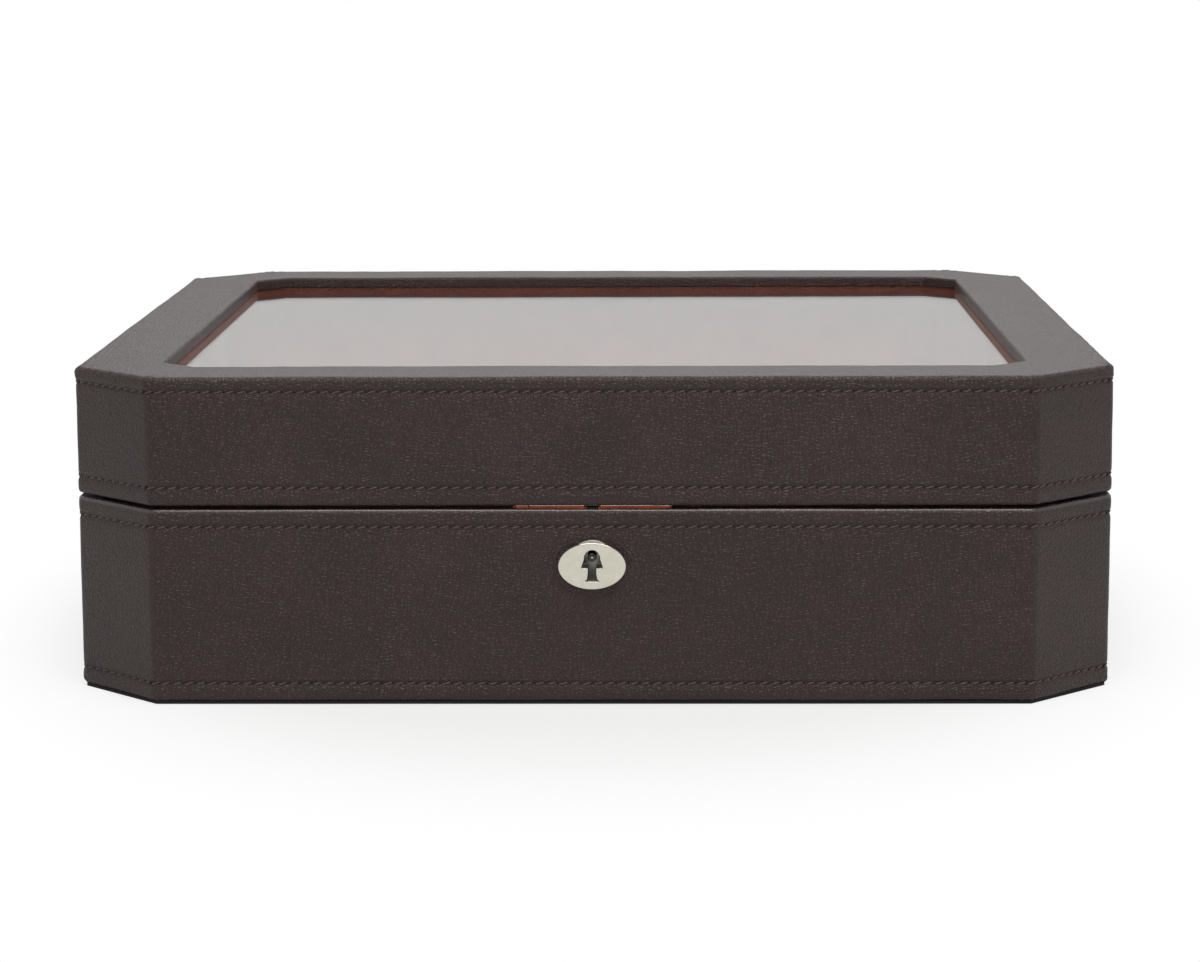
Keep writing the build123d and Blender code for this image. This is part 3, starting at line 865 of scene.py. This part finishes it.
def add_stitch(shape, middle, along, outward, up):
    """Sausage of thread that stands out of the leather in its middle and sinks at its ends."""
    lean = (along * math.cos(stitch_lean) + up * math.sin(stitch_lean)).normalized()
    across = outward.cross(lean).normalized()
    previous = None
    for ring in range(stitch_rings):
        share = ring / (stitch_rings - 1) * 2 - 1
        girth = thread_radius * math.sqrt(1 - stitch_taper * share ** 4)
        out = thread_out - thread_dive * share ** 4
        centre = middle + lean * (share * stitch_length / 2) + outward * out
        points = []
        for angle in turns(stitch_sides):
            spread = girth * (math.cos(angle) * outward + math.sin(angle) * across)
            points.append(shape.verts.new((centre + spread) * MM))
        if previous:
            join_rings(shape, previous, points)
        else:
            shape.faces.new(points[::-1])
        previous = points
    shape.faces.new(previous)


def add_hole(shape, middle, along, outward, up):
    """Low dark dome that stands for the shadow in a needle hole."""
    rim = []
    for angle in turns(hole_sides):
        spread = along * math.cos(angle) * hole_half_width + up * math.sin(angle) * hole_half_height
        rim.append(shape.verts.new((middle + spread + outward * hole_rim_out) * MM))
    top = shape.verts.new((middle + outward * hole_dome) * MM)
    bottom = shape.verts.new((middle - outward * hole_depth) * MM)
    for side in range(hole_sides):
        ahead = (side + 1) % hole_sides
        shape.faces.new((rim[side], rim[ahead], top))
        shape.faces.new((rim[ahead], rim[side], bottom))


print("a stitch is", stitch_length, "mm long and", 2 * thread_radius, "mm thick")

# %% [markdown]
# The needle goes through at every pitch along a side, and one stitch bridges each corner.
# A machine wanders a little, so each stitch sits up to a tenth of a millimetre higher or lower.

# %% Rows of stitches
row_wobble = 0.12
wobble_wave = 5.0
hole_sunk = 0.084


def stitch_places():
    """Middle of each stitch on the plan outline, its direction and its outward side."""
    places = []
    for side in range(8):
        centre, radius = corner_arc(side, 0)
        outward = (side_normal(side - 1) + side_normal(side)).normalized()
        places.append((centre + outward * radius, Vector((-outward.y, outward.x)), outward))
        outward = side_normal(side)
        along = Vector((-outward.y, outward.x))
        start = centre + outward * radius
        end_centre, radius = corner_arc(side + 1, 0)
        end = end_centre + outward * radius
        count = stitches_on(side)
        for stitch in range(count):
            places.append((start.lerp(end, (stitch + 0.5) / count), along, outward))
    return places


def sewn_row(name, height, body):
    """One row round the box: its stitches in one piece, its needle holes in another."""
    threads, holes = bmesh.new(), bmesh.new()
    up = Vector((0, 0, 1))
    for flat, along, outward in stitch_places():
        outward = outward.to_3d()
        along = along.to_3d()
        wobble = row_wobble * noise.noise(Vector((flat.x, flat.y, height)) / wobble_wave)
        surface = Vector((flat.x, flat.y, height + wobble))
        surface += outward * (hide_relief(surface) - row_depth)
        add_stitch(threads, surface, along, outward, up)
        place = surface - along * (stitch_pitch / 2) - outward * hole_sunk
        add_hole(holes, place, along, outward, up)
    pieces = []
    for shape, part, finish in ((threads, "thread", thread_finish), (holes, "needle_holes", hole_finish)):
        piece = as_piece(shape, f"{name}_{part}", finish)
        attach(piece, body)
        pieces.append(piece)
    return pieces


for name, height, body in (
    ("base_top_row", base_rows[0], "base"), ("base_bottom_row", base_rows[1], "base"),
    ("lid_top_row", lid_rows[0], "lid"), ("lid_bottom_row", lid_rows[1], "lid"),
):
    sewn = sewn_row(name, height, body)
    print(name, len(sewn[0].data.polygons), "faces of thread")

# %% [markdown]
# Each of the twenty cushions is a suede bag round soft filling, so it is blown up and not drawn.
# The start is the model's cushion, a little smaller, with an even net of faces.
# Cloth needs faces of one size to swell evenly, and a voxel remesh is the simplest way to get them.

# %% An even net over a cushion
pillow_room = 3.0
net_size = 3.6
foot_height = 0.2


def last_mesh(piece):
    """Mesh as the modifiers leave it; the piece itself goes."""
    mesh = shaped_mesh(piece)
    bpy.data.objects.remove(piece)
    return mesh


def model_shape(node):
    """The model's piece about the middle of its box."""
    low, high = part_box(node)
    shape = bmesh.new()
    shape.from_mesh(frame["nodes"][node].data)
    shape.transform(Matrix.Translation(-(low + high) / 2) @ frame["nodes"][node].matrix_world)
    bmesh.ops.remove_doubles(shape, verts=shape.verts, dist=0.01 * MM)
    return shape


def even_net(node):
    """Smaller copy of the model's cushion with even faces and a flat foot."""
    low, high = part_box(node)
    half = (high - low) / 2
    room = pillow_room * MM
    shape = model_shape(node)
    for vertex in shape.verts:
        vertex.co.x *= 1 - room / half.x
        vertex.co.y *= 1 - room / half.y
        vertex.co.z = (vertex.co.z + half.z) * (1 - room / (2 * half.z)) - half.z
    piece = as_piece(shape, "net_" + node, cushion_finish)
    remesh = piece.modifiers.new("even_net", "REMESH")
    remesh.mode = "VOXEL"
    remesh.voxel_size = net_size * MM
    net = last_mesh(piece)
    foot = min(vertex.co.z for vertex in net.vertices)
    for vertex in net.vertices:
        if vertex.co.z < foot + 0.4 * net_size * MM:
            vertex.co.z = -half.z + foot_height * MM
    return net


nets = {"plain": even_net("cushion_2_2"), "corner": even_net("cushion_1_1")}
print("net faces", {name: len(net.polygons) for name, net in nets.items()})

# %% [markdown]
# Cloth with pressure inside swells the net, while its foot stays flat on the lining.
# Two shapes are enough for all twenty: a plain one, and one pressed against a cut corner.
# The swelling is held back smoothly before it reaches the dividers, as a full compartment does it.

# %% Blow up a cushion
most_swell = 2.9
swelling_frames = 20
filling_pressure = 4.0


def swollen_places(net):
    """Where the pressure of the filling brings each vertex of the net in twenty frames."""
    start = [vertex.co.copy() for vertex in net.vertices]
    foot = min(place.z for place in start) + 0.1 * MM
    piece = put_in_scene("pillow", net)
    resting = piece.vertex_groups.new(name="foot")
    resting.add([index for index, place in enumerate(start) if place.z < foot], 1.0, "REPLACE")
    stuffing = piece.modifiers.new("stuffing", "CLOTH")
    stuffing.settings.quality = 6
    stuffing.settings.use_pressure = True
    stuffing.settings.uniform_pressure_force = filling_pressure
    stuffing.settings.effector_weights.gravity = 0.0
    stuffing.settings.vertex_group_mass = "foot"
    stuffing.point_cache.frame_end = swelling_frames
    for number in range(1, swelling_frames + 1):
        bpy.context.scene.frame_set(number)
    ends = [vertex.co.copy() for vertex in last_mesh(piece).vertices]
    bpy.context.scene.frame_set(1)
    places = []
    for place, end in zip(start, ends):
        moved = end - place
        most = most_swell * MM
        if moved.length > 0:
            moved *= most * math.tanh(moved.length / most) / moved.length
        places.append(place + moved)
    return places


def blown_up(name, net):
    """Master shape of a cushion: the swollen net with one subdivision."""
    for vertex, place in zip(net.vertices, swollen_places(net)):
        vertex.co = place
    piece = put_in_scene("master_" + name, net)
    finer = piece.modifiers.new("finer", "SUBSURF")
    finer.levels = finer.render_levels = 1
    return last_mesh(piece)


masters = {name: blown_up(name, net) for name, net in nets.items()}
print("cushion faces", {name: len(mesh.polygons) for name, mesh in masters.items()})

# %% [markdown]
# Every cushion gets its own dents, and gathers where the cover was sewn shut towards its ends.
# A groove with a welt in it marks each of the two end seams. The line of the welt is found by rays cast
# from the middle of the cushion, which is surer than looking for the right edges of the mesh.

# %% Sew a cushion
seam_from_end = 8.0
seam_depth = 1.5
seam_half = 2.6
gather_height = 0.8
gather_reach = 7.0
gather_folds = 4.5
dent_height = 0.6
dent_wave = 17.0
flat_foot = 0.5
full_relief = 4.0
welt_radius = 0.75
welt_sunk = 0.1
welt_steps = 64
welt_sides = 6


def seam_distance(x, half):
    """Distance to the nearer end seam, and which end it is at."""
    side = 1 if x > 0 else -1
    return abs(x - side * (half.x / MM - seam_from_end)), side


def sew(shape, half, seed):
    """Dents, gathers and the two grooves of the end seams."""
    for vertex in shape.verts:
        point = vertex.co / MM
        height = point.z + half.z / MM
        away, side = seam_distance(point.x, half)
        outward = Vector((0, point.y, point.z)).normalized()
        turn = math.atan2(point.z, point.y)
        gather = noise.noise(Vector((turn * gather_folds, side * 3.0, seed))) * math.exp(-away / gather_reach)
        lift = gather_height * gather + dent_height * noise.noise(point / dent_wave + Vector((seed, 0, 0)))
        lift -= seam_depth * valley(away, seam_half)
        vertex.co += outward * lift * MM * min(1.0, max(0.0, height - flat_foot) / full_relief)


def add_welt(shape, tree, half, side):
    """Thin cord of suede round the cushion in the seam at one end."""
    centre = Vector((side * (half.x / MM - seam_from_end) * MM, 0, 0))
    rings = []
    for angle in turns(welt_steps):
        outward = Vector((0, math.cos(angle), math.sin(angle)))
        middle = tree.ray_cast(centre, outward)[0] - outward * welt_sunk * MM
        spreads = [math.cos(lean) * outward + Vector((math.sin(lean), 0, 0)) for lean in turns(welt_sides)]
        rings.append([shape.verts.new(middle + welt_radius * MM * spread) for spread in spreads])
    for number, ring in enumerate(rings):
        join_rings(shape, ring, rings[(number + 1) % welt_steps])


print("seams", seam_from_end, "mm from the ends, welts", 2 * welt_radius, "mm thick")

# %% [markdown]
# Whatever would reach out of the model's cushion is pressed back, as the compartment does it.
# So no cushion can run into a divider or a wall, however its dents fall.
# The corner master fits the front left; the other three corners take its mirror images.

# %% Place the twenty cushions
pressed_in = 0.15
press_rounds = 2


def press_back(shape, bag):
    """Move vertices that stand out of the model's cushion just inside its nearest face."""
    for vertex in shape.verts:
        place, normal, index, distance = bag.find_nearest(vertex.co)
        depth = (place - vertex.co).dot(normal)
        if depth < pressed_in * MM:
            vertex.co = vertex.co + normal * (depth - pressed_in * MM)


def bag_of(node, mirrored):
    """Search tree of the model's cushion, turned the way the master lies."""
    shape = model_shape(node)
    shape.transform(mirrored)
    bmesh.ops.recalc_face_normals(shape, faces=shape.faces)
    tree = BVHTree.FromBMesh(shape)
    shape.free()
    return tree


def sewn_cushion(node, seed):
    low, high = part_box(node)
    half = (high - low) / 2
    row, column = (int(part) for part in node.split("_")[1:])
    at_corner = row in (1, 4) and column in (1, 5)
    mirrored = Matrix.Diagonal((-1 if column == 5 else 1, -1 if row == 4 else 1, 1, 1))
    shape = bmesh.new()
    shape.from_mesh(masters["corner" if at_corner else "plain"])
    sew(shape, half, seed)
    tree = BVHTree.FromBMesh(shape)
    for side in (-1, 1):
        add_welt(shape, tree, half, side)
    bag = bag_of(node, mirrored)
    for _ in range(press_rounds):
        press_back(shape, bag)
    shape.transform(Matrix.Translation((low + high) / 2) @ mirrored)
    piece = as_piece(shape, node + "_stuffed", cushion_finish)
    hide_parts(node)
    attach(piece, "base")
    return piece


cushion_nodes = sorted(name for name in frame["nodes"] if name.startswith("cushion_"))
for seed, node in enumerate(cushion_nodes):
    stuffed = sewn_cushion(node, seed * 7.3)
print(len(cushion_nodes), "cushions of", len(stuffed.data.polygons), "faces")

# %% [markdown]
# The keyhole has a round head for the key's pipe, a skirt, and a slot that ends in two small feet.
# Its right half is drawn once, in millimetres from the post, and mirrored to the left.

# %% Outlines of the oval and the keyhole
post_above_middle = 2.7
post_height = oval_middle.z + post_above_middle
head_radius = 2.55
head_steps = 16


def ellipse(length, height, count, rise=0.0):
    """Outline round the middle of the oval, or a little above it."""
    middle = oval_middle.z + rise
    return [(length / 2 * math.cos(angle), middle + height / 2 * math.sin(angle)) for angle in turns(count)]


def keyhole():
    """Round head, skirt with rounded corners, slot and feet, about the post."""
    skirt = [(2.56, -0.35), (2.85, -1.3), (3.2, -2.3), (3.38, -2.85), (3.36, -3.12), (3.22, -3.32),
             (2.95, -3.42)]
    slot = [(1.3, -3.45), (1.32, -4.2), (1.38, -5.6), (1.55, -6.9)]
    foot = [(1.9, -7.35), (2.25, -7.6), (2.3, -7.8)]
    side = skirt + slot + foot
    head = [math.pi * (1 - step / head_steps) for step in range(head_steps + 1)]
    points = [(-x, z) for x, z in side[::-1]]
    points += [(head_radius * math.cos(angle), head_radius * math.sin(angle)) for angle in head]
    points += side
    return [(x, post_height + z) for x, z in points]


print("keyhole of", len(keyhole()), "points about", round(post_height, 2), "mm up")

# %% [markdown]
# The oval was stamped and polished, so its outline and keyhole have a fine rounded edge that catches light.
# Behind it sits a turned collar, which shows a little above the oval, and a barrel goes on to the lock.
# All three are flat shapes with the same keyhole in them. A flat curve with a hole in it, given depth and
# a bevel, makes such a plate in one go, so one recipe serves for all three.

# %% Oval, collar and barrel
oval_length = 22.0
oval_height = 15.3
oval_front = 3.0
oval_bevel = 0.25
collar_radius = 8.0
collar_rise = 0.35
collar_front = 1.7
collar_bevel = 0.15
barrel_depth = 5.2
barrel_play = 0.05


def holed_plate(name, outline, back, front, bevel, finish):
    """Plate with the keyhole, from back to front millimetres out of the front wall."""
    curve = bpy.data.curves.new(name, "CURVE")
    curve.dimensions = "2D"
    curve.fill_mode = "BOTH"
    curve.extrude = ((front - back) / 2 - bevel) * MM
    curve.bevel_depth = bevel * MM
    curve.bevel_resolution = 3
    curve.offset = -bevel * MM
    for points in (outline, keyhole()):
        line = curve.splines.new("POLY")
        line.points.add(len(points) - 1)
        line.use_cyclic_u = True
        for point, (x, z) in zip(line.points, points):
            point.co = (x * MM, z * MM, 0, 1)
    shape = bmesh.new()
    shape.from_mesh(last_mesh(put_in_scene(name, curve)))
    bmesh.ops.remove_doubles(shape, verts=shape.verts, dist=0.002 * MM)
    out = half_depth + (back + front) / 2
    shape.transform(Matrix.Translation((0, -out * MM, 0)) @ Matrix.Rotation(math.pi / 2, 4, "X"))
    piece = as_piece(shape, name, finish)
    piece.data.set_sharp_from_angle(angle=math.radians(32))
    for face in piece.data.polygons:
        face.use_smooth = abs(face.normal.y) < 0.999
    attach(piece, "base")
    return piece


disc = 2 * collar_radius
pipe = 2 * (barrel_radius - barrel_play)
oval = holed_plate("oval_plate", ellipse(oval_length, oval_height, 96), collar_front, oval_front,
                   oval_bevel, nickel_finish)
collar = holed_plate("oval_collar", ellipse(disc, disc, 72, collar_rise), 0.0, collar_front,
                     collar_bevel, collar_finish)
tube = holed_plate("oval_barrel", ellipse(pipe, pipe, 48), -barrel_depth, 0.1, 0.0, collar_finish)
for piece in (oval, collar, tube):
    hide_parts("escutcheon")
print("oval", len(oval.data.polygons), "faces")

# %% [markdown]
# The key post was turned on a lathe, so it comes from a profile that is spun round.
# Its end is painted near black as painted shade, and the pip in its middle and the shaft are bright nickel as
# a painted highlight.

# %% Key post
post_radius = 1.5
painted_highlight_radius = 0.35


def turned(profile, sides=32):
    """Closed shape from pairs of radius and height, both ends on the axis."""
    shape = bmesh.new()
    previous = None
    for radius, height in profile:
        angles = turns(sides) if radius else [0.0]
        ring = [shape.verts.new(Vector((radius * math.cos(angle), radius * math.sin(angle), height)) * MM)
                for angle in angles]
        if previous:
            for side in range(sides):
                ahead = side + 1
                corners = (previous[side % len(previous)], previous[ahead % len(previous)],
                           ring[ahead % len(ring)], ring[side % len(ring)])
                shape.faces.new(list(dict.fromkeys(corners)))
        previous = ring
    return shape


post_low, post_high = box_of("key_post")
post_length = post_high.y - post_low.y
rounded_end = [(post_radius, 0.55), (1.44, 0.38), (1.25, 0.2), (0.85, 0.06), (0.4, 0.03), (0.32, 0.0),
               (0, 0.12)]
post_shape = turned([(0, 0), (post_radius, 0)]
                    + [(radius, post_length - from_end) for radius, from_end in rounded_end])
post_shape.transform(Matrix.Translation(Vector((0, post_high.y, post_height)) * MM)
                     @ Matrix.Rotation(math.pi / 2, 4, "X"))
post = as_piece(post_shape, "turned_post", post_end_painted_shade)
post.data.set_sharp_from_angle(angle=math.radians(40))
# the pip and the shaft take bright nickel as a painted highlight, the end keeps the painted shade
post.data.materials.append(nickel_finish)
for face in post.data.polygons:
    across = math.hypot(face.center.x, face.center.z - post_height * MM) / MM
    shaft = abs(face.normal.y) < 0.3
    face.material_index = 1 if across < painted_highlight_radius or shaft else 0
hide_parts("key_post")
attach(post, "base")
print(post.name, round(post_length, 2), "mm long")

# %% [markdown]
# The screws are turned too, and a saw cut makes the slot in the head.
# No two screws of a hand-finished box stop at the same angle, so each is turned a little further.

# %% Screws
lock_screw_reach = 21.0
hinge_screw_reach = 13.0
hinge_screw_inset = 5.6
slot_half_width = 0.27
slot_depth = 0.45
first_turn = 0.3
next_turn = 0.9
screw_point = [(0, -9.0), (0.35, -8.6), (1.05, -7.2)]
screw_head = [(1.05, -1.15), (1.97, -0.2), (1.97, -0.07), (1.9, 0), (0, 0)]
one_screw = as_piece(turned(screw_point + screw_head), "one_screw", nickel_finish)
cut_away(one_screw, cutter_block((-slot_half_width, -3.0, -slot_depth), (slot_half_width, 3.0, 1.0)),
         "screw_slot")
screw_mesh = one_screw.data
bpy.data.objects.remove(one_screw)


def screw_spots():
    """Places of the screws on the rim: two in the lock plate and two in each hinge leaf."""
    low, high = box_of("lock_selvedge")
    spots = [((low.x + high.x) / 2 + side * lock_screw_reach, (low.y + high.y) / 2) for side in (-1, 1)]
    for leaf in ("hinge_base_leaf_left", "hinge_base_leaf_right"):
        low, high = box_of(leaf)
        spots += [((low.x + high.x) / 2 + side * hinge_screw_reach, half_depth - hinge_screw_inset)
                  for side in (-1, 1)]
    return spots


for node, level, flip, body in (
    ("base_screws", base_high.z, 0.0, "base"), ("lid_screws", lid_low.z, math.pi, "lid"),
):
    group = bmesh.new()
    for number, (x, y) in enumerate(screw_spots()):
        single = bmesh.new()
        single.from_mesh(screw_mesh)
        single.transform(Matrix.Translation(Vector((x, y, level)) * MM) @ Matrix.Rotation(flip, 4, "X")
                         @ Matrix.Rotation(next_turn * number + first_turn + flip, 4, "Z"))
        group.from_mesh(mesh_of(single, "loose_screw"))
    screws = as_piece(group, node + "_slotted", nickel_finish)
    screws.data.set_sharp_from_angle(angle=math.radians(30))
    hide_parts(node)
    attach(screws, body)
    print(screws.name, len(screws.data.polygons), "faces")

# %% [markdown]
# The room is a white studio. The floor is pale and keeps the soft shadow of the box,
# but half of what the camera sees of it is plain white, as on a lit table, so the shadow stays light.
# Further out the floor runs into pure white, so that no horizon shows. It does so sooner at the sides
# than in front, where the shadow of the box is longest.

# %% Floor
floor_half = 4.0
floor_stretch = (1.25, 0.85, 1.0)
near_box = 0.17
all_white = 0.3
white_near_box = 0.48


def studio_floor():
    finish, shader = new_finish("studio_floor")
    set_shader(finish, shader, {
        "Base Color": (0.86, 0.86, 0.85, 1.0), "Roughness": 0.9, "Specular IOR Level": 0.1,
    })
    place = surface_place(finish, floor_stretch)
    far = add_node(finish, "ShaderNodeVectorMath", place, operation="LENGTH").outputs["Value"]
    fade = map_range(finish, far, near_box, all_white, white_near_box, 1.0, curve="SMOOTHSTEP")
    rays = add_node(finish, "ShaderNodeLightPath")
    seen = calculate(finish, "MAXIMUM", rays.outputs["Is Camera Ray"], rays.outputs["Is Transmission Ray"])
    white = add_node(finish, "ShaderNodeEmission", Strength=1.0)
    mix_shaders(finish, calculate(finish, "MULTIPLY", fade, seen), shader, white)
    return finish


floor_mesh = bpy.data.meshes.new("studio_floor")
floor_mesh.from_pydata(
    [(-floor_half, -floor_half, 0), (floor_half, -floor_half, 0), (floor_half, floor_half, 0),
     (-floor_half, floor_half, 0)], [], [(0, 1, 2, 3)])
floor_mesh.materials.append(studio_floor())
floor = put_in_scene("studio_floor", floor_mesh)
print(floor.name, "is", 2 * floor_half, "m wide")

# %% [markdown]
# The light is one wide soft box above the front edge and a weaker one behind, both a little to the right.
# The front one draws the bright line along the top edge of the base, and the rear one lights the rims.
# The walls are the world: white to the camera, a little grey in reflections, and dimmer as a light.

# %% World and soft boxes
white_wall = 1.0
wall_in_reflections = 0.55
wall_as_light = 0.3


def studio_walls():
    """White world whose strength depends on the kind of ray that meets it."""
    world = bpy.data.worlds.new("studio_walls")
    world.use_nodes = True
    rays = add_node(world, "ShaderNodeLightPath")
    strength = wall_as_light
    for ray, level in (("Is Camera Ray", white_wall), ("Is Transmission Ray", white_wall),
                       ("Is Glossy Ray", wall_in_reflections)):
        strength = calculate(world, "MULTIPLY_ADD", rays.outputs[ray], level - wall_as_light, strength)
    background = world.node_tree.nodes["Background"]
    feed(world, background.inputs["Color"], (1.0, 1.0, 1.0, 1.0))
    feed(world, background.inputs["Strength"], strength)
    return world


def soft_box(name, place, target, size, power):
    """Square lamp of a size in metres and a power in watts, turned to its target."""
    lamp = bpy.data.lights.new(name, "AREA")
    lamp.shape = "SQUARE"
    lamp.size = size
    lamp.energy = power
    holder = put_in_scene(name, lamp)
    aim = (Vector(target) - Vector(place)).to_track_quat("-Z", "Y")
    holder.matrix_world = Matrix.Translation(Vector(place)) @ aim.to_matrix().to_4x4()
    return holder


bpy.context.scene.world = studio_walls()
soft_box("soft_box_above", (0.1, -0.65, 1.5), (0.0, 0.0, 0.0), 1.2, 20.0)
soft_box("soft_box_behind", (0.05, 1.6, 1.3), (0.0, 0.0, 0.1), 1.2, 8.5)
